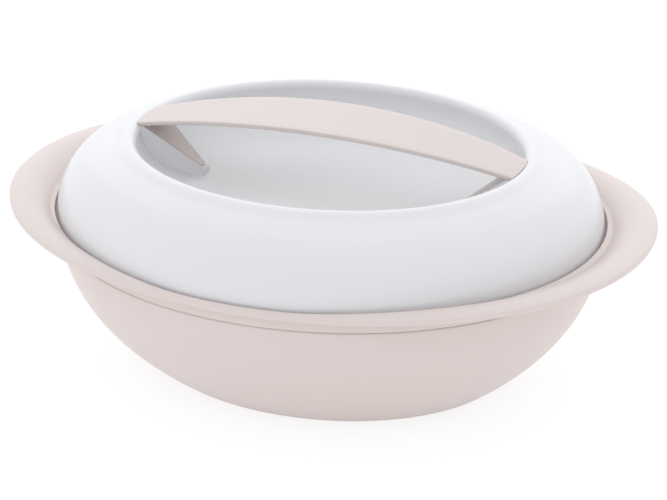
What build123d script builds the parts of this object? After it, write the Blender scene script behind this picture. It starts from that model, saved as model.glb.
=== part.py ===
from build123d import *
from math import atan2, cos, hypot, pi, radians, sin
import os

# Insulated oval casserole: a double-walled serving bowl with two wing handles on its rim
# collar, and a dished double-walled lid that lifts off by a strap handle.
# Millimetres. Origin at the middle of the foot, +Z up, +X along the long axis.
# An oval is an ellipse named by its half length. Its half width is OVAL_STEP less, so that
# walls keep their thickness all round.

OVAL_STEP = 20.0
HIDDEN_SECTIONS = 6        # hidden walls are straight bands between this many ovals

# Outer bowl
FOOT_HALF = 107.0
BELLY_SETBACK = 1.4        # the wall's line, run on up, passes this far inside the mouth
BELLY_HEIGHT = 90.0
BELLY_FULLNESS = 2.28      # how quickly the wall turns upright
BOWL_WALL = 2.6
FOOT_RIM_WIDTH = 7.0
FOOT_RECESS = 2.0
FOOT_ROUND = 1.6
SEAM_HEIGHT = 80.0         # seam between bowl and collar
SEAM_GAP = 0.3
LIP_HEIGHT = 4.0           # rebated lip of the bowl behind the collar's skirt
LIP_WALL = 1.3
JOINT_GAP = 0.15

# Filling hole and its plug
FILL_RADIUS = 7.0
PLUG_HEAD_RADIUS = 10.0
PLUG_HEAD = 1.2
PLUG_STEM = 4.4

# Rim collar with wings
WING_HALF_LENGTH = 190.0
FLANGE_HALF_WIDTH = 143.6
FLANGE_SQUARENESS = 2.1    # exponent of the flange outline, 2 is an ellipse
FLANGE_EDGE_HEIGHT = 89.0  # middle of the flange edge, front and back
WING_RISE = 6.4            # how far the wing tips stand above that
WING_THICKNESS = 2.8
WING_EDGE_ROUND = 1.25
WING_SPREAD = 0.134        # share of the outline that the wing covers, edge to band
WING_SLOPE = 9.8           # height over the edge, first power of the way in
WING_BEND = 13.6           # height lost again, second power of the way in
MOUTH_HALF = 161.0         # lid opening at the band's top
BAND_TOP = 93.2
BAND_LIP = 0.6             # flat on top of the band
BAND_WIDTH = 2.6
BAND_DROP = 2.6
RIM_EDGE = 2.4             # upright edge below the band
RIM_EDGE_ROUND = 0.9
LEDGE_DEPTH = 4.7          # the liner's flange rests this far under the band's top
LEDGE_THICKNESS = 2.6
LEDGE_WIDTH = 9.0

# Steel inner liner and insulation
SHEET = 0.8
LINER_FLOOR_HALF = 88.0
LINER_FLOOR_HEIGHT = 13.0
LINER_SIDE_GAP = 2.6       # liner's wall to the ledge round it
LINER_FLANGE_GAP = 1.3     # liner's flange to the lid's wall
LINER_FULLNESS = 2.5
LINER_FLOOR_BEND = 2.5
LINER_SECTIONS = 9
FOAM_GAP = 0.3

# Lid shell
LID_GAP = 1.6              # lid wall to collar mouth
LID_REST_GAP = 0.3         # lid over the base at rest
LID_WALL = 2.6
LID_RUN_OUT = 3.0
LID_SECTIONS = 15
# Side line of the lid as (way in, height), both from its rim; the last point is the crest
SHOULDER = [(0.4, 7.7), (2.4, 14.7), (5.9, 21.7), (11.2, 28.2), (18.5, 34.0), (27.9, 38.3)]
NECK = [(34.8, 40.8), (37.7, 42.4), (39.3, 43.2)]
CREST = (41.4, 43.6)
CREST_LAND = 0.8           # flat on top of the crest
CREST_RADIUS = 4.4
CREST_TURN = radians(80)   # the crest's inner edge runs out straight from here
DISH_DEPTH = 30.0
DISH_FULLNESS = 4.0
DISH_BANDS = (0, 0.35, 0.55, 0.68, 0.78, 0.86, 0.94, 1)    # ways along its side line
DISH_BAND_ROOM = 0.8       # bands round the dish bow this much towards its skin

# Lid gasket and steel inner plate
GASKET_SETBACK = 0.4       # gasket's inner edge, outside the liner's mouth
GASKET_WIDTH = 4.2
GASKET_HEIGHT = 2.8
PLATE_SIDE_GAP = 2.2       # plate's step to the inside of the liner
PLATE_SLOPE = 10.4         # plate's floor is this much smaller than its step
PLATE_DEPTH = 7.6
PLATE_EDGE_GAP = 0.4

# Strap handle
STRAP_RISE = 14.8          # middle of the arch over its ends
STRAP_SETBACK = 2.6        # strap's ends inside the crest's line
STRAP_PROUD = 0.1          # strap's ends over the crest
STRAP_HALF_WIDTH = 24.6
STRAP_END_HALF_WIDTH = 14.0
STRAP_THICKNESS = 2.6
STRAP_BEVEL = 0.6
STRAP_CORNER = 2.5
SOCKET_GAP = 0.3
TONGUE_TOP_INSET = 4.8     # tongue's top end inside the dish's edge
TONGUE_TOP_DROP = 3.1      # and under the strap's end
TONGUE_RUN = 26.5          # from there to its tip, along X
TONGUE_FALL = 20.9         # and down
TONGUE_TOP_HALF = 11.6
TONGUE_TIP_HALF = 2.8
TONGUE_THICKNESS = 2.4
TONGUE_ROOT = 3.2          # runs on this far into the strap

# Ramp under each tongue
RAMP_ROOT = 1.2            # runs on this far into the dish's wall
RAMP_MARGIN = 1.6          # ramp wider than the tongue, each side
RAMP_RIM_DROP = 0.3        # the rim round the tongue ends this far under its top
POCKET_GAP = 0.2           # between the tongue's sides and that rim
RAMP_FLARE = 8.0           # spread of the ramp's foot, each side
RAMP_FOOT_DROP = 1.0       # its foot lies this far under the dish's floor
RAMP_WALL = 2.4
SEAT_GAP = 0.1

# Handle screws
SCREW_INSET = 9.0          # from the tongue's top end, along X
SCREW_RADIUS = 1.5
SCREW_LENGTH = 3.4
SCREW_HEAD_RADIUS = 4.8
SCREW_HEAD = 2.0
BOSS_RADIUS = 3.4
BOSS_SHORT = 0.2           # boss ends this far inside the ramp wall, so the screw clamps
BORE_GAP = 0.05

# Worked out from the sizes above
BELLY_HALF = MOUTH_HALF - BELLY_SETBACK
BAND_OUTER_HALF = MOUTH_HALF + BAND_LIP + BAND_WIDTH
BAND_FOOT = BAND_TOP - BAND_DROP
LEDGE_HEIGHT = BAND_TOP - LEDGE_DEPTH
LEDGE_HALF = MOUTH_HALF - LEDGE_WIDTH
LEDGE_UNDERSIDE = LEDGE_HEIGHT - LEDGE_THICKNESS
FLOOR_TOP = FOOT_RECESS + BOWL_WALL
LID_RIM_HALF = MOUTH_HALF - LID_GAP
LID_RIM_HEIGHT = LEDGE_HEIGHT + LID_REST_GAP
LINER_MOUTH_HALF = LEDGE_HALF - LINER_SIDE_GAP
LINER_FLANGE_HALF = LID_RIM_HALF - LID_WALL - LINER_FLANGE_GAP
CREST_HALF = LID_RIM_HALF - CREST[0]
CREST_HEIGHT = LID_RIM_HEIGHT + CREST[1]
DISH_HALF = CREST_HALF - CREST_LAND - CREST_RADIUS
DISH_TOP = CREST_HEIGHT - CREST_RADIUS
DISH_FLOOR_HEIGHT = DISH_TOP - DISH_DEPTH
GASKET_HALF = LINER_MOUTH_HALF + GASKET_SETBACK
GASKET_BOTTOM = LEDGE_HEIGHT + SHEET + LID_REST_GAP
PLATE_BOTTOM = GASKET_BOTTOM + GASKET_HEIGHT
PLATE_HALF = LID_RIM_HALF - LID_WALL - PLATE_EDGE_GAP
PLATE_STEP_HALF = LINER_MOUTH_HALF - SHEET - PLATE_SIDE_GAP
PLATE_FLOOR_HALF = PLATE_STEP_HALF - PLATE_SLOPE
STRAP_HALF_SPAN = CREST_HALF - STRAP_SETBACK
STRAP_END_TOP = CREST_HEIGHT + STRAP_PROUD
STRAP_TOP = STRAP_END_TOP + STRAP_RISE
TONGUE_TOP_X = DISH_HALF - TONGUE_TOP_INSET
TONGUE_TOP_Z = STRAP_END_TOP - TONGUE_TOP_DROP
TONGUE_TIP_X = TONGUE_TOP_X - TONGUE_RUN
TONGUE_TIP_Z = TONGUE_TOP_Z - TONGUE_FALL
TONGUE_ROOT_X = TONGUE_TOP_X + TONGUE_ROOT
RAMP_END_X = DISH_HALF + RAMP_ROOT
RAMP_FOOT_Z = DISH_FLOOR_HEIGHT - RAMP_FOOT_DROP
SCREW_X = TONGUE_TOP_X - SCREW_INSET
TONGUE_SLOPE = TONGUE_FALL / TONGUE_RUN
TONGUE_DROP = TONGUE_THICKNESS * hypot(1, TONGUE_SLOPE)    # its thickness, measured upright
SOCKET_FLOOR = STRAP_END_TOP - STRAP_THICKNESS - SOCKET_GAP
CLEAR = 30.0               # how far a cutter runs past what it cuts


def oval(half_length, height, half_width=None):
    """Face of an oval, level, at a height."""
    if half_width is None:
        half_width = half_length - OVAL_STEP
    return Plane.XY.offset(height) * Ellipse(half_length, half_width)


def oval_block(half_length, bottom, top):
    return extrude(oval(half_length, bottom), amount=top - bottom)


def oval_ring(inner_half, outer_half, bottom, top):
    return oval_block(outer_half, bottom, top) - oval_block(inner_half, bottom, top)


class BowlWall:
    """A bowl's wall: its half length grows from floor to rim and turns upright there."""

    def __init__(self, floor_half, rim_half, floor_height, rim_height, fullness):
        self.floor_half = floor_half
        self.growth = rim_half - floor_half
        self.floor_height = floor_height
        self.depth = rim_height - floor_height
        self.fullness = fullness

    def half_length(self, height):
        left = 1 - (height - self.floor_height) / self.depth
        return self.floor_half + self.growth * (1 - left ** self.fullness)

    def slope(self, height):
        left = 1 - (height - self.floor_height) / self.depth
        return self.growth * self.fullness / self.depth * left ** (self.fullness - 1)

    def section(self, height, inset=0.0):
        """Oval on the wall, or this far inside it measured square to the wall."""
        slope = self.slope(height)
        square = hypot(1, slope)
        half_length = self.half_length(height) - inset / square
        return oval(half_length, height + inset * slope / square)

    def solid(self, top, inset=0.0, sections=8, ruled=False):
        """Everything inside the wall, from its floor to about this height."""
        rise = top - self.floor_height
        heights = [self.floor_height + rise * (k / (sections - 1)) ** 1.5 for k in range(sections)]
        return loft([self.section(height, inset) for height in heights], ruled=ruled)

    def hidden_solid(self, top, inset=0.0):
        """The same in a few straight bands, for walls that nobody sees."""
        return self.solid(top, inset, HIDDEN_SECTIONS, ruled=True)


BOWL = BowlWall(FOOT_HALF, BELLY_HALF, 0.0, BELLY_HEIGHT, BELLY_FULLNESS)
LINER = BowlWall(LINER_FLOOR_HALF, LINER_MOUTH_HALF, LINER_FLOOR_HEIGHT, LEDGE_HEIGHT,
                 LINER_FULLNESS)


def above(solid, height):
    return split(solid, bisect_by=Plane.XY.offset(height), keep=Keep.TOP)


def below(solid, height):
    return split(solid, bisect_by=Plane.XY.offset(height), keep=Keep.BOTTOM)


def edges_at(solid, height, slack=0.01):
    return solid.edges().filter_by_position(Axis.Z, height - slack, height + slack)


def make_outer_bowl():
    """Blush moulding: wall, foot rim, filling hole and a rebated lip for the collar."""
    lip_top = SEAM_HEIGHT + LIP_HEIGHT
    outside = below(BOWL.solid(BELLY_HEIGHT - 1), lip_top)
    outside = fillet(edges_at(outside, 0.0), FOOT_ROUND)
    inside = above(BOWL.hidden_solid(BELLY_HEIGHT - 1, BOWL_WALL), FLOOR_TOP)
    lip_half = BOWL.half_length(SEAM_HEIGHT) - BOWL_WALL + LIP_WALL
    rebate = oval_ring(lip_half, BELLY_HALF + CLEAR, SEAM_HEIGHT, lip_top + CLEAR)
    recess = oval_block(FOOT_HALF - FOOT_RIM_WIDTH, -CLEAR, FOOT_RECESS)
    hole = Cylinder(FILL_RADIUS, CLEAR)
    return outside - inside - rebate - recess - hole


def make_fill_plug():
    """Cap that closes the filling hole, sunk in the foot's recess."""
    head = Pos(0, 0, FOOT_RECESS - PLUG_HEAD / 2) * Cylinder(PLUG_HEAD_RADIUS, PLUG_HEAD)
    head = chamfer(edges_at(head, FOOT_RECESS - PLUG_HEAD), PLUG_HEAD / 3)
    stem = Pos(0, 0, FOOT_RECESS + PLUG_STEM / 2) * Cylinder(FILL_RADIUS - JOINT_GAP, PLUG_STEM)
    hollow = Pos(0, 0, FOOT_RECESS + PLUG_STEM / 2) * Cylinder(FILL_RADIUS - 2, PLUG_STEM)
    return head + stem - hollow


def flange_ring(way_in):
    """Closed line on the wing's top, a share of the way in from the flange edge."""
    share = 1 - WING_SPREAD * way_in
    rise = WING_SLOPE * way_in - WING_BEND * way_in ** 2
    count = 32
    points = []
    for k in range(count):
        angle = 2 * pi * (k + 0.5) / count
        x = power(cos(angle)) * WING_HALF_LENGTH * share
        y = power(sin(angle)) * FLANGE_HALF_WIDTH * share
        edge = FLANGE_EDGE_HEIGHT + WING_THICKNESS / 2 + WING_RISE * (x / WING_HALF_LENGTH) ** 2
        points.append((x, y, edge + rise))
    return Wire([Edge.make_spline(points, periodic=True)])


def power(value):
    size = abs(value) ** (2 / FLANGE_SQUARENESS)
    return size if value > 0 else -size


def make_wings():
    """The upswept sheet that makes both wings, with rounded edges."""
    top = Shell.make_loft([flange_ring(way_in) for way_in in (0, 0.2, 0.45, 0.75, 1.05)])
    sheet = extrude(top.faces()[0], amount=WING_THICKNESS, dir=(0, 0, -1))
    rims = sheet.edges().filter_by(lambda edge: edge.length > WING_HALF_LENGTH)
    upper_rim = rims.sort_by(lambda edge: -edge.length)[:2].sort_by(Axis.Z)[1]
    return fillet(upper_rim, WING_EDGE_ROUND)


def make_rim_collar():
    """Blush ring that joins bowl and liner: skirt, band round the lid, ledge and wings."""
    skirt_top = SEAM_HEIGHT + LIP_HEIGHT + SEAM_GAP
    skirt_half = BOWL.half_length(skirt_top)
    edge_foot = BAND_FOOT - RIM_EDGE
    band = loft([oval(skirt_half - RIM_EDGE, skirt_top - RIM_EDGE),
                 oval(BAND_OUTER_HALF, edge_foot), oval(BAND_OUTER_HALF, BAND_FOOT),
                 oval(MOUTH_HALF + BAND_LIP, BAND_TOP)], ruled=True)
    band = fillet(edges_at(band, BAND_FOOT) + edges_at(band, edge_foot), RIM_EDGE_ROUND)
    skirt = above(BOWL.solid(BELLY_HEIGHT - 1), SEAM_HEIGHT + SEAM_GAP)
    skirt = below(skirt, edge_foot)
    lip_half = BOWL.half_length(SEAM_HEIGHT) - BOWL_WALL + LIP_WALL + JOINT_GAP
    collar = band + skirt + make_wings()
    collar -= oval_block(MOUTH_HALF, LEDGE_HEIGHT, LEDGE_HEIGHT + CLEAR)
    collar -= oval_block(LEDGE_HALF, SEAM_HEIGHT - CLEAR, LEDGE_HEIGHT + CLEAR)
    collar -= oval_block(skirt_half - BOWL_WALL, SEAM_HEIGHT - CLEAR, LEDGE_UNDERSIDE)
    collar -= oval_block(lip_half, SEAM_HEIGHT - CLEAR, skirt_top)
    return collar


def make_inner_liner():
    """Pressed steel bowl with a flat flange that lies on the collar's ledge."""
    outside = LINER.solid(LEDGE_HEIGHT - 0.5, 0.0, LINER_SECTIONS, ruled=True)
    outside = chamfer(edges_at(outside, LINER_FLOOR_HEIGHT), LINER_FLOOR_BEND)
    inside = LINER.solid(LEDGE_HEIGHT - 0.5, SHEET, LINER_SECTIONS, ruled=True)
    inside = above(inside, LINER_FLOOR_HEIGHT + SHEET)
    inside = chamfer(edges_at(inside, LINER_FLOOR_HEIGHT + SHEET), LINER_FLOOR_BEND)
    mouth_half = LINER_MOUTH_HALF - SHEET
    neck = oval_block(LINER_MOUTH_HALF, LEDGE_HEIGHT - 1, LEDGE_HEIGHT + SHEET)
    flange = oval_block(LINER_FLANGE_HALF, LEDGE_HEIGHT, LEDGE_HEIGHT + SHEET)
    liner = outside + neck + flange - inside
    return liner - oval_block(mouth_half, LEDGE_HEIGHT - 2, LEDGE_HEIGHT + CLEAR)


def make_base_foam():
    """Insulation between the outer bowl and the liner."""
    foam = BOWL.hidden_solid(BELLY_HEIGHT - 1, BOWL_WALL + FOAM_GAP)
    foam = above(foam, FLOOR_TOP + FOAM_GAP)
    foam = below(foam, LEDGE_UNDERSIDE - FOAM_GAP)
    liner_space = LINER.solid(LEDGE_HEIGHT - 0.5, -FOAM_GAP, LINER_SECTIONS, ruled=True)
    stem_space = Cylinder(FILL_RADIUS, 2 * (FOOT_RECESS + PLUG_STEM + FOAM_GAP))
    return foam - liner_space - stem_space


def lid_section(wall, way, inset):
    """Oval through a point of the lid's side line, or this far under the skin."""
    point = wall @ way
    tangent = wall % way
    return oval(point.X - inset * tangent.Z, point.Z + inset * tangent.X)


def dish_side():
    """The dish's side line, from its centre to the foot of the crest."""
    side = []
    for k in range(2, 9):
        angle = pi / 2 * k / 9
        reach = DISH_HALF * sin(angle) ** (2 / DISH_FULLNESS)
        side.append((reach, 0, DISH_TOP - DISH_DEPTH * cos(angle)))
    return Spline((0, 0, DISH_FLOOR_HEIGHT), *side, (DISH_HALF, 0, DISH_TOP),
                  tangents=[(1, 0, 0), (0, 0, 1)])


def dish_space(inset, banded=False):
    """The room in and over the dish with this much skin round it, smooth or in bands."""
    skin = dish_side()
    line = []
    for way in DISH_BANDS if banded else [k / 12 for k in range(13)]:
        point, tangent = skin @ way, skin % way
        line.append((point.X + inset * tangent.Z, 0, point.Z - inset * tangent.X))
    dish = Polyline(*line) if banded else Spline(*line, tangents=[(1, 0, 0), (0, 0, 1)])
    radius = CREST_RADIUS - min(inset, LID_WALL)
    centre = (dish @ 1).X + radius
    turn = [(centre - radius * cos(angle), 0, DISH_TOP + radius * sin(angle))
            for angle in (CREST_TURN / 2, CREST_TURN)]
    bead = ThreePointArc(dish @ 1, *turn)
    way_out = Line(bead @ 1, bead @ 1 + bead % 1 * CREST_RADIUS)
    roof = Polyline(way_out @ 1, ((way_out @ 1).X, 0, STRAP_TOP), (0, 0, STRAP_TOP), dish @ 0)
    half = make_face(Wire([*dish.edges(), *bead.edges(), *way_out.edges(), *roof.edges()]))
    return scale(revolve(half, Axis.Z), by=(1, 1 - OVAL_STEP / CREST_HALF, 1))


def lid_outside(inset, sections=LID_SECTIONS, ruled=False):
    """Everything inside the lid's outer side, up to the crest. It runs out below the rim."""
    line = [(LID_RIM_HALF - inward, 0, LID_RIM_HEIGHT + rise)
            for inward, rise in [(0, 0), *SHOULDER, *NECK, CREST]]
    wall = Spline(*line, tangents=[(0, 0, 1), (-1, 0, 0)])
    ovals = [oval(LID_RIM_HALF - inset, LID_RIM_HEIGHT - LID_RUN_OUT)]
    ovals += [lid_section(wall, k / (sections - 1), inset) for k in range(sections)]
    return loft(ovals, ruled=ruled)


def lid_solid(inset=0.0):
    """Everything under the lid's skin, with the dish sunk into it."""
    return lid_outside(inset) - dish_space(inset)


def ramp_top(x):
    """Height of the ramp's top, just under the tongue."""
    return TONGUE_TIP_Z + TONGUE_SLOPE * (x - TONGUE_TIP_X) - TONGUE_DROP - SEAT_GAP


def tongue_half(x):
    share = (x - TONGUE_TIP_X) / TONGUE_RUN
    return TONGUE_TIP_HALF + share * (TONGUE_TOP_HALF - TONGUE_TIP_HALF)


def ramp_block(margin, rise, foot):
    """Wedge flared towards the dish, wider than the tongue by margin, rise over its seat."""
    tip_x = TONGUE_TIP_X - TONGUE_TIP_HALF - margin
    top = []
    bottom = []
    for x, side in ((tip_x, -1), (RAMP_END_X, -1), (RAMP_END_X, 1), (tip_x, 1)):
        half = tongue_half(x) + margin
        top.append((x, side * half, ramp_top(x) + rise))
        bottom.append((x, side * (half + RAMP_FLARE), foot))
    return loft([Face(Wire.make_polygon(top)), Face(Wire.make_polygon(bottom))], ruled=True)


def tongue_slab(grow, end_x, low, high):
    """Prism over a tongue's outline, between two heights measured from the ramp's seat."""
    tip, end = TONGUE_TIP_HALF + grow, tongue_half(end_x) + grow
    plan = Polygon((TONGUE_TIP_X, -tip), (end_x, -end), (end_x, end), (TONGUE_TIP_X, tip),
                   align=None)
    plan += Pos(TONGUE_TIP_X, 0) * Circle(tip)
    start_x = TONGUE_TIP_X - 2 * tip
    side = [(x, 0, ramp_top(x) + rise)
            for x, rise in ((start_x, low), (end_x, low), (end_x, high), (start_x, high))]
    slab = extrude(Face(Wire.make_polygon(side)), amount=2 * TONGUE_TOP_HALF, both=True)
    return slab & Pos(0, 0, RAMP_FOOT_Z) * extrude(plan, amount=STRAP_TOP)


def make_ramp():
    """Ramp with a shallow pocket in its top that the tongue lies in."""
    block = ramp_block(RAMP_MARGIN, SEAT_GAP + TONGUE_DROP - RAMP_RIM_DROP, RAMP_FOOT_Z)
    block = below(block, SOCKET_FLOOR - SOCKET_GAP)
    return block - tongue_slab(POCKET_GAP, RAMP_END_X + 1, 0, CLEAR)


def ramp_core():
    """The hollow under a ramp, open to the inside of the lid."""
    roof = -RAMP_WALL * hypot(1, TONGUE_SLOPE)
    return ramp_block(RAMP_MARGIN - RAMP_WALL, roof, RAMP_FOOT_Z - CLEAR)


def both_ends(shape):
    return [shape, mirror(shape, about=Plane.YZ)]


def screw_axis():
    """Plane whose Z runs up through the ramp and tongue, square to them."""
    lean = atan2(TONGUE_SLOPE, 1)
    normal = (-sin(lean), 0, cos(lean))
    return Plane((SCREW_X, 0, ramp_top(SCREW_X)), x_dir=(0, 1, 0), z_dir=normal)


def make_lid_shell():
    """White moulding: shoulder, crest, dish, and the two ramps that carry the strap."""
    shell = above(lid_solid(), LID_RIM_HEIGHT)
    for ramp in both_ends(make_ramp()):
        shell += ramp
    shell -= lid_solid(LID_WALL)
    hole = screw_axis() * Cylinder(BOSS_RADIUS + JOINT_GAP, 2 * RAMP_WALL + 2)
    for cut in both_ends(ramp_core()) + both_ends(hole):
        shell -= cut
    socket = extrude(strap_plan(SOCKET_GAP), amount=CLEAR)
    return shell - Pos(0, 0, SOCKET_FLOOR) * socket


def make_gasket():
    """Silicone ring between the two steel flanges."""
    top = GASKET_BOTTOM + GASKET_HEIGHT
    return oval_ring(GASKET_HALF, GASKET_HALF + GASKET_WIDTH, GASKET_BOTTOM, top)


def make_lid_liner():
    """Pressed steel plate that closes the lid from below and dips into the bowl."""
    floor = PLATE_BOTTOM - PLATE_DEPTH
    flange = oval_block(PLATE_HALF, PLATE_BOTTOM, PLATE_BOTTOM + SHEET)
    pan = loft([oval(PLATE_FLOOR_HALF, floor), oval(PLATE_STEP_HALF, PLATE_BOTTOM)],
               ruled=True)
    hollow = loft([oval(PLATE_FLOOR_HALF - SHEET, floor + SHEET),
                   oval(PLATE_STEP_HALF - SHEET, PLATE_BOTTOM + SHEET)], ruled=True)
    return flange + pan - hollow


def make_lid_foam():
    """Insulation between the lid's shell and its steel plate."""
    inset = LID_WALL + FOAM_GAP
    foam = lid_outside(inset, HIDDEN_SECTIONS, ruled=True)
    foam -= dish_space(inset + DISH_BAND_ROOM, banded=True)
    return above(foam, PLATE_BOTTOM + SHEET + FOAM_GAP)


def strap_plan(grow=0.0):
    """Outline of the strap from above: widest in the middle, its ends follow the crest."""
    reach = STRAP_HALF_SPAN + grow
    middle = STRAP_HALF_WIDTH + grow
    end = STRAP_END_HALF_WIDTH + grow
    near = ThreePointArc((-reach, -end), (0, -middle), (reach, -end))
    far = ThreePointArc((reach, end), (0, middle), (-reach, end))
    ends = [Line(near @ 1, far @ 0).edge(), Line(far @ 1, near @ 0).edge()]
    plan = make_face(Wire([near.edge(), far.edge(), *ends]))
    plan = plan & Ellipse(reach, reach * (1 - OVAL_STEP / CREST_HALF))
    return fillet(plan.vertices(), STRAP_CORNER + grow)


def make_strap():
    """Blush strap: a shallow arch, with a tongue at each end that lies on the ramp."""
    reach = STRAP_HALF_SPAN + STRAP_THICKNESS
    end_top = STRAP_TOP - STRAP_RISE * (reach / STRAP_HALF_SPAN) ** 2
    over = ThreePointArc((reach, 0, end_top), (0, 0, STRAP_TOP), (-reach, 0, end_top))
    under = Pos(0, 0, -STRAP_THICKNESS) * over
    ends = [Line(over @ 1, under @ 1).edge(), Line(under @ 0, over @ 0).edge()]
    side = make_face(Wire([over.edge(), under.edge(), *ends]))
    arch = extrude(side, amount=STRAP_HALF_WIDTH + 1, both=True)
    strap = arch & extrude(strap_plan(), amount=STRAP_TOP + CLEAR)
    long_edges = strap.edges().filter_by(lambda edge: edge.length > STRAP_HALF_SPAN)
    strap = chamfer(long_edges, STRAP_BEVEL)
    for piece in both_ends(make_tongue()):
        strap += piece
    return strap


def make_tongue():
    """Tapered plate with a blind boss for the screw."""
    slab = tongue_slab(0, TONGUE_ROOT_X, SEAT_GAP, SEAT_GAP + TONGUE_DROP)
    length = RAMP_WALL - BOSS_SHORT
    axis = screw_axis()
    boss = axis * Pos(0, 0, (SEAT_GAP - length) / 2) * Cylinder(BOSS_RADIUS, length + SEAT_GAP)
    bore = axis * Pos(0, 0, SCREW_LENGTH / 2 - RAMP_WALL - SEAT_GAP)
    return slab + boss - bore * Cylinder(SCREW_RADIUS + BORE_GAP, SCREW_LENGTH + 2 * BORE_GAP)


def make_handle_screws():
    """Two pan-head screws, driven from inside the lid."""
    seat = -RAMP_WALL - SEAT_GAP
    axis = screw_axis()
    shank = axis * Pos(0, 0, seat + SCREW_LENGTH / 2) * Cylinder(SCREW_RADIUS, SCREW_LENGTH)
    head = axis * Pos(0, 0, seat - SCREW_HEAD / 2) * Cylinder(SCREW_HEAD_RADIUS, SCREW_HEAD)
    return Compound(both_ends(shank + head))


NODES = {
    "outer_bowl": make_outer_bowl,
    "fill_plug": make_fill_plug,
    "rim_collar": make_rim_collar,
    "inner_liner": make_inner_liner,
    "base_foam": make_base_foam,
    "lid_shell": make_lid_shell,
    "lid_gasket": make_gasket,
    "lid_liner": make_lid_liner,
    "lid_foam": make_lid_foam,
    "handle_strap": make_strap,
    "handle_screws": make_handle_screws,
}

os.makedirs("parts", exist_ok=True)
for node, make in NODES.items():
    export_step(make(), f"parts/{node}.step")
    print("wrote", node)
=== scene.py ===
from math import cos, hypot, pi, radians, sin, sqrt

import bmesh
import bpy
import numpy as np
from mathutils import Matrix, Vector


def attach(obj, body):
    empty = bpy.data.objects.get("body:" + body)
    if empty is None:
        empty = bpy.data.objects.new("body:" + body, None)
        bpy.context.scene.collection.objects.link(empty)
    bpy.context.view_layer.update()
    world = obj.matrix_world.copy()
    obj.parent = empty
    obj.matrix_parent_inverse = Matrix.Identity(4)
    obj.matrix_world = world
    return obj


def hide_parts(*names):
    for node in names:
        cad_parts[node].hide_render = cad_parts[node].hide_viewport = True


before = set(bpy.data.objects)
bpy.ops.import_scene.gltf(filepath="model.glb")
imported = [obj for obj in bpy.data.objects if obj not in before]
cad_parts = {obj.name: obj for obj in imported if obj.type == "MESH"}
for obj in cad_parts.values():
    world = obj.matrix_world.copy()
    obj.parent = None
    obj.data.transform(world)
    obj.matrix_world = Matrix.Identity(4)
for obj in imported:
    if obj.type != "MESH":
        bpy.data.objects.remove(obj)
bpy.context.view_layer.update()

MM = 0.001

# ---------------------------------------------------------------- sizes, in mm, as in the CAD
STEP = 20.0                   # half length less half width of the product's ovals
BELLY = dict(foot=107.0, rim=159.6, height=90.0, fullness=2.28)
BOWL_WALL = 2.6
BOWL_FLOOR = dict(recess=2.0, recess_half=100, inside=4.6)
LIP = dict(wall=1.3, rise=4, soft=0.25)
SEAM = 80.0
SEAM_GAP = 0.12
LINER = dict(foot=88.0, rim=149.4, floor=13.0, height=88.5, fullness=2.5)
SHEET = 0.8                   # steel of the liner
FLANGE = dict(half=155.5, bend=148.6)
LEDGE = dict(half=152.0, top=88.5, under=85.9)
MOUTH = 161.0
BAND_TOP = 91.8
BAND_LIP = 0.6
BAND_FOOT_HALF = 164.2
BAND_FOOT = 90.3
RIM_LOW = 89.7
COLLAR_WALL = 2.6
SKIRT = dict(rise=4.3, inward=1.15)
WING = dict(half=190.0, wide=143.6, square=2.1, edge=89.0, rise=6.4, thick=2.8,
            spread=0.134, slope=12.0, bend=16.2)
LID_HALF = 159.4
LID_RIM = 88.8
LID_WALL = 2.6
SHOULDER = [(0.0, 88.8), (0.4, 96.5), (2.4, 103.5), (5.9, 110.5), (11.2, 117.0), (18.5, 122.8),
            (27.9, 127.1), (34.8, 129.6), (37.7, 131.2), (39.3, 132.0), (41.4, 132.4)]
CREST = 118.0
CREST_TOP = 132.4
DISH = dict(half=112.8, top=128.0, floor=98.0, full=4.0)
STRAP = dict(top=147.3, end_top=132.5, span=115.4, wide=24.6, end_wide=14.0, thick=2.6, edge=0.7,
             corner=1.2, bend_from=0.8)
TONGUE = dict(top_x=108.0, top_z=129.4, tip_x=81.5, tip_z=108.5, top_half=11.6, tip_half=2.8,
              thick=2.4, root=111.2, edge=0.35)
RAMP = dict(margin=1.6, drop=0.3, gap=0.2, flare=8.0, foot=97.0, end=113.6, clear=0.15,
            nose=0.4, nose_drop=0.25, pocket=0.1)
RAMP_EDGE = [(0.02, 0.2), (0.12, 0.06), (0.3, 0)]     # (inward, down) round its upper edge
SOCKET = dict(floor=129.85, gap=0.35, start=100.0)

AROUND = 288                  # points round an oval

# ---------------------------------------------------------------- light
SKY_MIDDLE, SKY_SWING, SKY_SIDE = 0.96, 0.33, (-0.25, 0.66, 0.71)
SKY_COLOR = (0.96, 0.98, 1.0, 1)
FLOOR_BOUNCE, FLOOR_LIFT, FLOOR_SEEN, FLOOR_GLOW = 0.85, 0.22, 0.3, 0.77
FLOOR_REACH = 30.0            # metres from the middle


# ---------------------------------------------------------------- mesh helpers
def mesh_piece(name, points, faces, material, body, replaces=(), slot=None):
    mesh = bpy.data.meshes.new(name)
    mesh.from_pydata([tuple(MM * c for c in p) for p in points], [], faces)
    mesh.update()
    bm = bmesh.new()
    bm.from_mesh(mesh)
    bmesh.ops.remove_doubles(bm, verts=bm.verts, dist=1e-6)
    bmesh.ops.recalc_face_normals(bm, faces=bm.faces)
    bm.to_mesh(mesh)
    bm.free()
    mesh.polygons.foreach_set("use_smooth", [True] * len(mesh.polygons))
    piece = bpy.data.objects.new(name, mesh)
    bpy.context.scene.collection.objects.link(piece)
    mesh.materials.append(material)
    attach(piece, body)
    if replaces:
        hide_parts(*replaces)
    return piece


def ring_faces(rows, across, closed_rows=True):
    """Quads over a grid of rows, each row running all the way round.

    With closed_rows the last row is joined to the first."""
    faces = []
    for i in range(rows if closed_rows else rows - 1):
        j = (i + 1) % rows
        for k in range(across):
            m = (k + 1) % across
            faces.append((i * across + k, j * across + k, j * across + m, i * across + m))
    return faces


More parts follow.
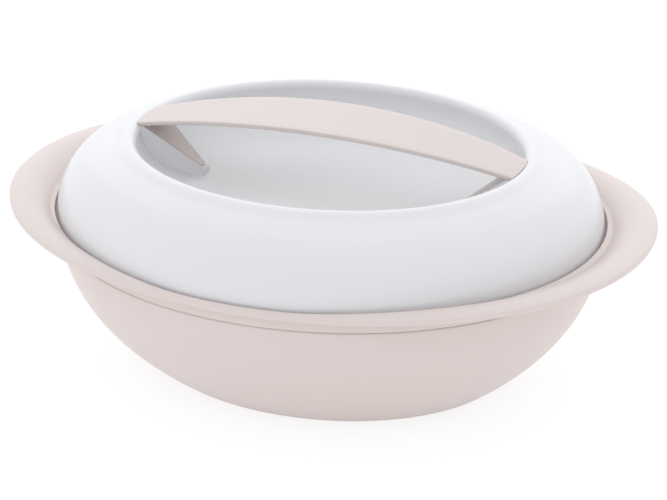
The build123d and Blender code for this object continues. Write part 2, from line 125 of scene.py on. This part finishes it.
def bar_faces(rows, across):
    """Quads along a bar of rows, with a cap at each end."""
    return ring_faces(rows, across, closed_rows=False) + [
        tuple(range(across)), tuple(range((rows - 1) * across, rows * across))[::-1]]


def rounded(corners, soft, rows):
    """Points along a closed outline of corners, softened over a width.

    rows gives how many points lie on each side; they crowd towards the corners."""
    corners = np.asarray(corners, float)
    after = np.roll(corners, -1, axis=0)
    lengths = np.maximum(np.hypot(*(after - corners).T), 1e-9)
    starts = np.concatenate([[0], np.cumsum(lengths)])
    total = starts[-1]
    loop = np.vstack([corners, corners[:1]])
    at = []
    for side, count in enumerate(rows):
        share = (1 - np.cos(pi * (np.arange(count) / count))) / 2 if count > 1 else np.zeros(1)
        at.append(starts[side] + lengths[side] * share)
    at = np.concatenate(at)
    reach = np.linspace(-2, 2, 13)
    weight = np.exp(-reach ** 2 / 2)
    weight /= weight.sum()
    where = (at[:, None] + reach * soft) % total
    x = np.interp(where, starts, loop[:, 0]) @ weight
    z = np.interp(where, starts, loop[:, 1]) @ weight
    return np.stack([x, z], -1)


def oval_points(profile, scale_inside=None):
    """Points of ovals, one row per (half length, height) of a profile.

    Ovals smaller than scale_inside keep its proportions instead of the even step."""
    angle = 2 * pi * np.arange(AROUND) / AROUND
    rows = []
    for a, z in profile:
        b = a - STEP
        if scale_inside and a < scale_inside:
            b = a * (1 - STEP / scale_inside)
        rows.append(np.stack([a * np.cos(angle), b * np.sin(angle), np.full(AROUND, z)], -1))
    return np.concatenate(rows)


# ---------------------------------------------------------------- materials
BUMP_DEPTH = 0.0002


def material(name, color, rough, coat=0.0, coat_rough=0.1, metallic=0.0, specular=0.5,
             mottle=0.02, mottle_scale=40.0, grain=0.02, grain_scale=2500.0, rough_vary=0.06,
             stretch=None):
    """A moulded or metal surface: broad noise in its colour, fine noise in roughness and bump."""
    mat = bpy.data.materials.new(name)
    mat.use_nodes = True
    tree = mat.node_tree
    nodes, links = tree.nodes, tree.links
    shader = nodes["Principled BSDF"]
    place = nodes.new("ShaderNodeTexCoord")
    source = place.outputs["Object"]
    if stretch:
        mapping = nodes.new("ShaderNodeMapping")
        mapping.inputs["Scale"].default_value = stretch
        links.new(source, mapping.inputs["Vector"])
        source = mapping.outputs["Vector"]
    broad = nodes.new("ShaderNodeTexNoise")
    broad.inputs["Scale"].default_value = mottle_scale
    broad.inputs["Detail"].default_value = 3.0
    links.new(source, broad.inputs["Vector"])
    fine = nodes.new("ShaderNodeTexNoise")
    fine.inputs["Scale"].default_value = grain_scale
    fine.inputs["Detail"].default_value = 2.0
    links.new(source, fine.inputs["Vector"])
    mix = nodes.new("ShaderNodeMix")
    mix.data_type = "RGBA"
    mix.inputs["A"].default_value = (*[c * (1 - mottle) for c in color], 1)
    mix.inputs["B"].default_value = (*[min(1, c * (1 + mottle)) for c in color], 1)
    links.new(broad.outputs["Fac"], mix.inputs["Factor"])
    links.new(mix.outputs["Result"], shader.inputs["Base Color"])
    spread = nodes.new("ShaderNodeMapRange")
    spread.inputs["To Min"].default_value = max(0.0, rough - rough_vary)
    spread.inputs["To Max"].default_value = rough + rough_vary
    links.new(fine.outputs["Fac"], spread.inputs["Value"])
    links.new(spread.outputs["Result"], shader.inputs["Roughness"])
    bump = nodes.new("ShaderNodeBump")
    bump.inputs["Strength"].default_value = grain
    bump.inputs["Distance"].default_value = BUMP_DEPTH
    links.new(fine.outputs["Fac"], bump.inputs["Height"])
    links.new(bump.outputs["Normal"], shader.inputs["Normal"])
    shader.inputs["Metallic"].default_value = metallic
    shader.inputs["Specular IOR Level"].default_value = specular
    shader.inputs["Coat Weight"].default_value = coat
    shader.inputs["Coat Roughness"].default_value = coat_rough
    return mat


def linear(r, g, b):
    """An sRGB colour, 0 to 255, as linear light."""
    out = []
    for c in (r, g, b):
        c /= 255
        out.append(c / 12.92 if c <= 0.04045 else ((c + 0.055) / 1.055) ** 2.4)
    return tuple(out)


BLUSH = material("blush_plastic", linear(218, 205, 201), 0.4, specular=0.42, mottle=0.012,
                 grain=0.06, grain_scale=1800)
STRAP_BLUSH = material("strap_plastic", linear(209, 198, 194), 0.38, specular=0.42, mottle=0.012,
                       grain=0.06, grain_scale=1800)
WHITE = material("white_plastic", linear(224, 223, 225), 0.22, coat=0.05, coat_rough=0.1,
                 specular=0.4, mottle=0.004, grain=0.01, grain_scale=900, rough_vary=0.02)
STEEL = material("liner_steel", (0.62, 0.62, 0.61), 0.3, metallic=1.0, mottle=0.05,
                 grain=0.12, grain_scale=700, stretch=(1, 1, 14), rough_vary=0.08)
SCREW = material("screw_steel", (0.5, 0.5, 0.5), 0.35, metallic=1.0, mottle=0.05, grain=0.1)
FOAM = material("foam", (0.78, 0.68, 0.4), 0.95, specular=0.1, mottle=0.12, mottle_scale=300,
                grain=0.7, grain_scale=900)
SEAL = material("seal_rubber", (0.6, 0.6, 0.6), 0.65, specular=0.3, mottle=0.04, grain=0.15)

for node, mat in {"outer_bowl": BLUSH, "fill_plug": BLUSH, "rim_collar": BLUSH,
                  "inner_liner": STEEL, "base_foam": FOAM, "lid_shell": WHITE,
                  "lid_gasket": SEAL, "lid_liner": STEEL, "lid_foam": FOAM,
                  "handle_strap": STRAP_BLUSH, "handle_screws": SCREW}.items():
    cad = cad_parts[node]
    if not cad.material_slots:
        cad.data.materials.append(mat)
    for held in cad.material_slots:
        held.material = mat


# ---------------------------------------------------------------- outer bowl
def wall_half(z, shape):
    low = shape.get("floor", 0.0)
    left = 1 - (z - low) / (shape["height"] - low)
    return shape["foot"] + (shape["rim"] - shape["foot"]) * (1 - left ** shape["fullness"])


def wall_line(shape, low, high, count, inset=0.0):
    """Points up a bowl's wall, or this far inside it."""
    heights = low + (high - low) * np.linspace(0, 1, count) ** 1.4
    line = np.array([(wall_half(z, shape), z) for z in heights])
    if inset:
        along = np.gradient(line, axis=0)
        along /= np.hypot(*along.T)[:, None]
        line = line + inset * np.stack([-along[:, 1], along[:, 0]], -1)
    return line


def closed_oval_piece(name, corners, soft, rows, mat, body, **how):
    """A ring-shaped piece whose section is the same all round its oval."""
    section = rounded(corners, soft, rows)
    return mesh_piece(name, oval_points(section), ring_faces(len(section), AROUND), mat, body,
                      **how)


def make_bowl():
    outside = wall_line(BELLY, 0.0, SEAM, 40)
    inside = wall_line(BELLY, 3.0, SEAM + LIP["rise"], 24, inset=BOWL_WALL)[::-1]
    lip = wall_half(SEAM, BELLY) - BOWL_WALL + LIP["wall"]
    recess, recess_half = BOWL_FLOOR["recess"], BOWL_FLOOR["recess_half"]
    corners = [*outside, (lip, SEAM), (lip, SEAM + LIP["rise"]), *inside,
               (2, BOWL_FLOOR["inside"]), (2, recess), (recess_half, recess), (recess_half, 0)]
    rows = [2] * len(outside) + [2, 4] + [2] * len(inside) + [1, 1, 3, 3]
    return closed_oval_piece("bowl_shell", corners, LIP["soft"], rows, BLUSH, "base",
                             replaces=["outer_bowl"], slot="blush_plastic")


# ---------------------------------------------------------------- rim collar
def oval_reach(half, angle):
    """Distance from the middle to an oval, in a direction."""
    return 1 / np.hypot(np.cos(angle) / half, np.sin(angle) / (half - STEP))


def flange_reach(angle):
    n = WING["square"]
    return (np.abs(np.cos(angle) / WING["half"]) ** n
            + np.abs(np.sin(angle) / WING["wide"]) ** n) ** (-1 / n)


def wing_height(reach, edge, angle):
    """Height of the wing's top at a distance from the middle, where its edge is at edge."""
    way_in = np.clip((1 - reach / edge) / WING["spread"], 0, None)
    lift = WING["edge"] + WING["thick"] / 2 + WING["rise"] * (reach * np.cos(angle)
                                                               / WING["half"]) ** 2
    return lift + WING["slope"] * way_in - WING["bend"] * way_in ** 2


def collar_corners(angle):
    """Section of the collar in one direction, as (distance from the middle, height)."""
    mouth, lip = oval_reach(MOUTH, angle), oval_reach(MOUTH + BAND_LIP, angle)
    foot = oval_reach(BAND_FOOT_HALF, angle)
    flange = flange_reach(angle)
    edge = max(flange, foot)
    fall = (BAND_TOP - BAND_FOOT) / (foot - lip)
    # where the band's slope meets the wing's top
    low, high = lip, foot
    for _ in range(30):
        middle = (low + high) / 2
        if BAND_TOP - fall * (middle - lip) > wing_height(middle, edge, angle):
            low = middle
        else:
            high = middle
    crease = (low, BAND_TOP - fall * (low - lip))
    top = [(r, wing_height(r, edge, angle)) for r in np.linspace(low, edge, 13)[1:]]
    under = [(r, z - WING["thick"]) for r, z in top[::-1]]
    root = min(foot, edge)
    under = [(r, z) for r, z in under if r > root] or [(root, top[-1][1] - WING["thick"])]
    while len(under) < 12:
        under.append((root, min(under[-1][1], RIM_LOW)))
    wall = [(oval_reach(wall_half(z, BELLY), angle), z)
            for z in (SEAM + 7.2, SEAM + 4.5, SEAM + 2, SEAM + SEAM_GAP)]
    inner = oval_reach(wall_half(SEAM, BELLY) - SKIRT["inward"], angle)
    skirt_z = SEAM + SKIRT["rise"]
    skirt = oval_reach(wall_half(skirt_z, BELLY) - COLLAR_WALL, angle)
    ledge = oval_reach(LEDGE["half"], angle)
    return [(ledge, LEDGE["top"]), (mouth, LEDGE["top"]), (mouth, BAND_TOP), (lip, BAND_TOP),
            crease, *top, *under, *wall, (inner, SEAM + SEAM_GAP), (inner, skirt_z),
            (skirt, LEDGE["under"]), (ledge, LEDGE["under"])]


def make_collar():
    across = 2 * AROUND
    angles = 2 * pi * np.arange(across) / across
    rows = [3, 3, 4, 3, 2] + [2] * 11 + [6] + [2] * 11 + [6] + [3] * 3
    rows += [3] * (len(collar_corners(0.0)) - len(rows))
    grid = []
    for angle in angles:
        section = rounded(collar_corners(angle), 0.35, rows)
        grid.append(np.stack([section[:, 0] * cos(angle), section[:, 0] * sin(angle),
                              section[:, 1]], -1))
    points = np.stack(grid, 1).reshape(-1, 3)
    return mesh_piece("rim_collar_shell", points, ring_faces(sum(rows), across), BLUSH, "base",
                      replaces=["rim_collar"], slot="blush_plastic")


# ---------------------------------------------------------------- steel bowl
def make_liner():
    floor, rim, half = LINER["floor"], LINER["height"], FLANGE["half"]
    outside = wall_line(LINER, floor, rim - 0.1, 30)
    inside = wall_line(LINER, floor, rim - 0.1, 30, inset=SHEET)[::-1]
    corners = [(2, floor), (80, floor), *outside[1:], (LINER["rim"], rim), (half, rim),
               (half, rim + SHEET), (FLANGE["bend"], rim + SHEET), *inside[:-1],
               (79, floor + SHEET), (2, floor + SHEET)]
    rows = [12, 6] + [2] * (len(corners) - 5) + [6, 12, 1]
    return closed_oval_piece("liner_bowl", corners, 0.9, rows, STEEL, "base",
                             replaces=["inner_liner"], slot="liner_steel")


# ---------------------------------------------------------------- strap's outline
def arc_through(end_value, middle_value, span):
    """Circle through (-span, end), (0, middle), (span, end), as a function of x."""
    rise = middle_value - end_value
    radius = (span ** 2 + rise ** 2) / (2 * rise)
    return lambda x: middle_value - radius + sqrt(radius ** 2 - x ** 2)


strap_top = arc_through(STRAP["end_top"], STRAP["top"], STRAP["span"])
strap_width = arc_through(STRAP["end_wide"], STRAP["wide"], STRAP["span"])


def strap_turn(grow=0.0):
    """Distances from the middle through the rounding of the strap's corner."""
    corner = STRAP["corner"] + grow
    return STRAP["span"] + grow - corner + corner * np.sin(np.linspace(0, pi / 2, 8))


def strap_half(x, grow=0.0):
    corner = STRAP["corner"] + grow
    into = max(abs(x) - (STRAP["span"] + grow - corner), 0)
    return strap_width(x) + grow - (corner - sqrt(max(corner ** 2 - into ** 2, 0)))


def follow_crest(x, y):
    """Bends the strap's ends along the crest."""
    span = STRAP["span"]
    squash = 1 - STEP / CREST
    inward = span * (1 - sqrt(1 - (y / (span * squash)) ** 2))
    bend_from = STRAP["bend_from"]
    return x - np.sign(x) * inward * max(0, abs(x) / span - bend_from) / (1 - bend_from)


# ---------------------------------------------------------------- lid
def spline(points, count, ends=None):
    """Points along a smooth curve through points."""
    points = np.asarray(points, float)
    lengths = np.hypot(*np.diff(points, axis=0).T)
    at = np.concatenate([[0], np.cumsum(lengths)])
    slopes = np.gradient(points, at, axis=0)
    if ends:
        slopes[0], slopes[-1] = ends
    out = []
    for s in np.linspace(0, at[-1], count):
        k = min(np.searchsorted(at, s, side="right") - 1, len(at) - 2)
        h = at[k + 1] - at[k]
        t = (s - at[k]) / h
        out.append((2 * t ** 3 - 3 * t ** 2 + 1) * points[k] + (t ** 3 - 2 * t ** 2 + t) * h
                   * slopes[k] + (3 * t ** 2 - 2 * t ** 3) * points[k + 1]
                   + (t ** 3 - t ** 2) * h * slopes[k + 1])
    return np.array(out)


def dish_height(reach):
    """Height of the dish where an oval of this half length lies."""
    depth = DISH["top"] - DISH["floor"]
    share = np.clip(np.asarray(reach) / DISH["half"], 0, 1)
    return DISH["top"] - depth * np.sqrt(1 - share ** DISH["full"])


def lid_line():
    """Section of the lid's outer skin from rim to the middle of the dish."""
    wall = spline([(LID_HALF - inward, z) for inward, z in SHOULDER], 60,
                  ends=((0.0, 1.0), (-1.0, 0.0)))
    radius = CREST_TOP - DISH["top"]
    centre = DISH["half"] + radius
    turn = np.linspace(0, pi / 2, 12)[1:]
    bead = np.stack([centre - radius * np.sin(turn), DISH["top"] + radius * np.cos(turn)], -1)
    drop = np.linspace(0, pi / 2, 60)[1:]
    reach = DISH["half"] * np.cos(drop) ** (2 / DISH["full"])
    side = np.stack([reach, DISH["top"] - (DISH["top"] - DISH["floor"]) * np.sin(drop)], -1)
    side = side[side[:, 0] > 34]
    floor_reach = np.array([30, 24, 18, 12, 6, 0.0])
    floor = np.stack([floor_reach, dish_height(floor_reach)], -1)
    return np.vstack([wall, [(centre, CREST_TOP)], bead, side, floor])


def make_lid():
    skin = lid_line()
    along = np.gradient(skin, axis=0)
    along /= np.hypot(*along.T)[:, None]
    inner = skin + LID_WALL * np.stack([-along[:, 1], along[:, 0]], -1)
    inner[0] = (LID_HALF - LID_WALL, LID_RIM)
    inner[-1] = (0, DISH["floor"] - LID_WALL)
    profile = np.vstack([skin, inner[::-1]])
    points = oval_points(profile, scale_inside=CREST)
    # skin and inner wall meet at the dish's middle, so no faces join them there
    faces = [face for face in ring_faces(len(profile), AROUND)
             if face[0] // AROUND != len(skin) - 1]
    piece = mesh_piece("lid_shell_skin", points, faces, WHITE, "lid", replaces=["lid_shell"],
                       slot="white_plastic")
    cut_sockets(piece)


def cut_sockets(piece):
    """Sinks the two ends of the strap into the crest, with a thin gap round them."""
    grow = SOCKET["gap"]
    xs = [SOCKET["start"], 104, 108, 111, *strap_turn(grow)]
    for side in (-1, 1):
        edge = [(follow_crest(x, strap_half(x, grow)), strap_half(x, grow)) for x in xs]
        loop = edge + [(x, -y) for x, y in edge[::-1]]
        count = len(loop)
        points = [(MM * side * x, MM * y, MM * z) for z in (SOCKET["floor"], CREST_TOP + 8)
                  for x, y in loop]
        faces = [(k, (k + 1) % count, count + (k + 1) % count, count + k) for k in range(count)]
        faces += [tuple(range(count))[::-1], tuple(range(count, 2 * count))]
        mesh = bpy.data.meshes.new("socket")
        mesh.from_pydata(points, [], faces)
        bm = bmesh.new()
        bm.from_mesh(mesh)
        bmesh.ops.recalc_face_normals(bm, faces=bm.faces)
        bm.to_mesh(mesh)
        bm.free()
        cutter = bpy.data.objects.new("socket", mesh)
        bpy.context.scene.collection.objects.link(cutter)
        cut = piece.modifiers.new("socket", "BOOLEAN")
        cut.operation, cut.solver, cut.object = "DIFFERENCE", "EXACT", cutter
        bpy.context.view_layer.update()
        graph = bpy.context.evaluated_depsgraph_get()
        done = bpy.data.meshes.new_from_object(piece.evaluated_get(graph))
        piece.modifiers.remove(cut)
        piece.data = done
        bpy.data.objects.remove(cutter)
    piece.data.set_sharp_from_angle(angle=radians(40))


TONGUE_SLOPE = (TONGUE["top_z"] - TONGUE["tip_z"]) / (TONGUE["top_x"] - TONGUE["tip_x"])


def tongue_drop():
    """Thickness of a tongue, measured straight down."""
    return TONGUE["thick"] * hypot(1, TONGUE_SLOPE)


def ramp_under(x):
    """Height of a tongue's underside, at a distance from the middle."""
    return TONGUE["tip_z"] + TONGUE_SLOPE * (x - TONGUE["tip_x"]) - tongue_drop()


def pocket_half(x):
    """Half width of the pocket round a tongue."""
    tip = TONGUE["tip_half"] + RAMP["gap"]
    if x < TONGUE["tip_x"]:
        return sqrt(max(tip ** 2 - (TONGUE["tip_x"] - x) ** 2, 0))
    return tongue_half(x) + RAMP["gap"]


def tongue_half(x):
    """Half width of a tongue, rounded at its tip."""
    share = (x - TONGUE["tip_x"]) / (TONGUE["top_x"] - TONGUE["tip_x"])
    if share < 0:
        return sqrt(max(TONGUE["tip_half"] ** 2 - (TONGUE["tip_x"] - x) ** 2, 0))
    return TONGUE["tip_half"] + share * (TONGUE["top_half"] - TONGUE["tip_half"])


def make_ramp(side):
    """The flared ramp that carries a tongue in a pocket, moulded with the lid."""
    grow = (TONGUE["top_half"] - TONGUE["tip_half"]) / (TONGUE["top_x"] - TONGUE["tip_x"])
    tip, pocket_tip = TONGUE["tip_half"], TONGUE["tip_half"] + RAMP["gap"]
    front = TONGUE["tip_x"] - tip - RAMP["margin"]
    nose = RAMP["nose"]
    turn = TONGUE["tip_x"] - pocket_tip * np.cos(np.linspace(0, pi / 2, 10))
    xs = np.concatenate([[front, front + 0.1, front + nose, turn[0] - 0.01], turn,
                         np.linspace(TONGUE["tip_x"], RAMP["end"], 30)[1:]])
    points = []
    for x in xs:
        half = tip + grow * (x - TONGUE["tip_x"]) + RAMP["margin"]
        crown = ramp_under(x) + tongue_drop() - RAMP["drop"]
        crown -= RAMP["nose_drop"] * max(0.0, 1 - (x - front) / nose) ** 2
        top = min(crown, strap_top(x) - STRAP["thick"] - RAMP["clear"])
        edge = half + RAMP["flare"] * (crown - top) / (crown - RAMP["foot"])
        slot = pocket_half(x)
        floor = min(ramp_under(x) - RAMP["pocket"], top) if x >= turn[0] else top
        flare = [(half + RAMP["flare"] * (crown - z) / (crown - RAMP["foot"]), z)
                 for z in np.linspace(RAMP["foot"], top - 0.4, 10)]
        line = flare + [(edge - inward, top - down) for inward, down in RAMP_EDGE]
        line += [(slot, top), (slot, floor), (slot * 0.5, floor)]
        ring = [(x, y, z) for y, z in line] + [(x, -y, z) for y, z in line[::-1]]
        points += [(side * x, y, z) for x, y, z in ring]
    name = "lid_ramp_right" if side > 0 else "lid_ramp_left"
    return mesh_piece(name, points, bar_faces(len(xs), len(ring)), WHITE, "lid",
                      slot="white_plastic")


# ---------------------------------------------------------------- strap
def bar_section(half, top, thick, edge):
    """Rounded rectangle across the strap: (y, z) points, all the way round."""
    edge = min(edge, half * 0.95)
    arc = np.linspace(0, pi / 2, 5)
    right_top = [(half - edge + edge * sin(t), top - edge + edge * cos(t)) for t in arc]
    right_low = [(half - edge + edge * cos(t), top - thick + edge - edge * sin(t)) for t in arc]
    across = np.linspace(-(half - edge), half - edge, 9)[1:-1]
    upper = [(y, top) for y in across]
    lower = [(y, top - thick) for y in across[::-1]]
    left_low = [(-y, z) for y, z in right_low[::-1]]
    left_top = [(-y, z) for y, z in right_top[::-1]]
    return upper + right_top + right_low + lower + left_low + left_top


def swept_bar(name, stations, mat, body, bend=None, **how):
    """A bar from (x, half width, top, thickness, edge) stations along X."""
    points = []
    for x, half, top, thick, edge in stations:
        section = bar_section(half, top, thick, edge)
        points += [(bend(x, y) if bend else x, y, z) for y, z in section]
    return mesh_piece(name, points, bar_faces(len(stations), len(section)), mat, body, **how)


def make_strap():
    turn = strap_turn()
    inner = turn[0]
    xs = np.concatenate([-turn[::-1], np.linspace(-inner, inner, 121)[1:-1], turn])
    stations = [(x, strap_half(x), strap_top(x), STRAP["thick"], STRAP["edge"]) for x in xs]
    swept_bar("strap_arch", stations, STRAP_BLUSH, "lid", bend=follow_crest,
              replaces=["handle_strap"], slot="strap_plastic")
    for side, name in ((-1, "strap_tongue_left"), (1, "strap_tongue_right")):
        drop = tongue_drop()
        # the rounded tip first, then the straight run up to the root
        lead = TONGUE["tip_x"] - TONGUE["tip_half"] * np.cos(np.linspace(0.12, pi / 2, 8))
        run = np.linspace(TONGUE["tip_x"], TONGUE["root"], 26)[1:]
        stations = [(side * x, tongue_half(x), ramp_under(x) + drop, drop, TONGUE["edge"])
                    for x in [*lead, *run]]
        swept_bar(name, stations, STRAP_BLUSH, "lid", slot="strap_plastic")


# ---------------------------------------------------------------- floor and lights
def new_tree(holder):
    """An empty node tree with its output, and short makers for nodes and links."""
    holder.use_nodes = True
    tree = holder.node_tree
    tree.nodes.clear()

    def node(kind, **values):
        made = tree.nodes.new(kind)
        for key, value in values.items():
            made.inputs[key.replace("_", " ")].default_value = value
        return made

    return node, tree.links.new


def make_floor():
    """Pale floor: it bounces light and also glows a little of its own (FLOOR_LIFT), a glow that
    lights the bowl from below; the camera sees it as white with a faint shadow.
    """
    mat = bpy.data.materials.new("floor")
    node, link = new_tree(mat)
    bounce = node("ShaderNodeBsdfDiffuse", Color=(FLOOR_BOUNCE,) * 3 + (1,))
    seen = node("ShaderNodeBsdfDiffuse", Color=(FLOOR_SEEN,) * 3 + (1,))
    glow = node("ShaderNodeEmission", Strength=FLOOR_GLOW)
    both = node("ShaderNodeAddShader")
    link(seen.outputs[0], both.inputs[0])
    link(glow.outputs[0], both.inputs[1])
    path = node("ShaderNodeLightPath")
    direct = node("ShaderNodeMath")
    direct.operation = "MAXIMUM"
    link(path.outputs["Is Camera Ray"], direct.inputs[0])
    link(path.outputs["Is Glossy Ray"], direct.inputs[1])
    # bounced light plus the floor's own glow (FLOOR_LIFT), seen only by rays from the object: it
    # lights the bowl's underside and lower wall from below
    table = node("ShaderNodeAddShader")
    link(bounce.outputs[0], table.inputs[0])
    link(node("ShaderNodeEmission", Strength=FLOOR_LIFT).outputs[0], table.inputs[1])
    mix = node("ShaderNodeMixShader")
    link(direct.outputs[0], mix.inputs[0])
    link(table.outputs[0], mix.inputs[1])
    link(both.outputs[0], mix.inputs[2])
    link(mix.outputs[0], node("ShaderNodeOutputMaterial").inputs["Surface"])
    mesh = bpy.data.meshes.new("floor")
    size = FLOOR_REACH
    mesh.from_pydata([(-size, -size, 0), (size, -size, 0), (size, size, 0), (-size, size, 0)], [],
                     [(0, 1, 2, 3)])
    ground = bpy.data.objects.new("floor", mesh)
    mesh.materials.append(mat)
    bpy.context.scene.collection.objects.link(ground)


def make_sky():
    """Soft light from all round, brightest behind and above. The camera sees plain white."""
    world = bpy.context.scene.world or bpy.data.worlds.new("world")
    bpy.context.scene.world = world
    node, link = new_tree(world)
    place = node("ShaderNodeTexCoord")
    facing = node("ShaderNodeVectorMath")
    facing.operation = "DOT_PRODUCT"
    facing.inputs[1].default_value = SKY_SIDE
    link(place.outputs["Generated"], facing.inputs[0])
    rise = node("ShaderNodeMapRange", From_Min=-1.0, To_Min=SKY_MIDDLE - SKY_SWING,
                To_Max=SKY_MIDDLE + SKY_SWING)
    link(facing.outputs["Value"], rise.inputs["Value"])
    sky = node("ShaderNodeBackground", Color=SKY_COLOR)
    link(rise.outputs["Result"], sky.inputs["Strength"])
    white = node("ShaderNodeBackground", Strength=1.0)
    path = node("ShaderNodeLightPath")
    mix = node("ShaderNodeMixShader")
    link(path.outputs["Is Camera Ray"], mix.inputs[0])
    link(sky.outputs[0], mix.inputs[1])
    link(white.outputs[0], mix.inputs[2])
    link(mix.outputs[0], node("ShaderNodeOutputWorld").inputs["Surface"])


def softbox(name, place, aim, size, watts):
    data = bpy.data.lights.new(name, "AREA")
    data.shape = "RECTANGLE"
    data.size, data.size_y = size
    data.energy = watts
    lamp = bpy.data.objects.new(name, data)
    bpy.context.scene.collection.objects.link(lamp)
    lamp.location = place
    lamp.rotation_mode = "QUATERNION"
    lamp.rotation_quaternion = (Vector(aim) - Vector(place)).to_track_quat("-Z", "Y")


# ---------------------------------------------------------------- camera, fitted to the photo
CAMERA = dict(lens=138.46, sensor=36.0, azimuth=21.424, elevation=24.278,
              place=(0.49812, -1.26230, 0.67655))


def make_camera():
    data = bpy.data.cameras.new("camera")
    data.lens = CAMERA["lens"]
    data.sensor_width = CAMERA["sensor"]
    camera = bpy.data.objects.new("camera", data)
    bpy.context.scene.collection.objects.link(camera)
    azimuth, elevation = radians(CAMERA["azimuth"]), radians(CAMERA["elevation"])
    back = Vector((sin(azimuth) * cos(elevation), -cos(azimuth) * cos(elevation),
                   sin(elevation)))
    camera.location = CAMERA["place"]
    camera.rotation_mode = "QUATERNION"
    camera.rotation_quaternion = (-back).to_track_quat("-Z", "Y")
    bpy.context.scene.camera = camera


# ---------------------------------------------------------------- scene
LAMP_AIM = (0, 0, 0.1)

bpy.context.scene.view_settings.view_transform = "Standard"
make_camera()
make_bowl()
make_collar()
make_liner()
make_lid()
make_ramp(-1)
make_ramp(1)
make_strap()
make_floor()
make_sky()
softbox("back", (-0.6, 1.9, 1.35), LAMP_AIM, (3.4, 1.8), 6.0)
softbox("side", (-1.9, -1.1, 0.8), LAMP_AIM, (1.8, 1.4), 1.5)
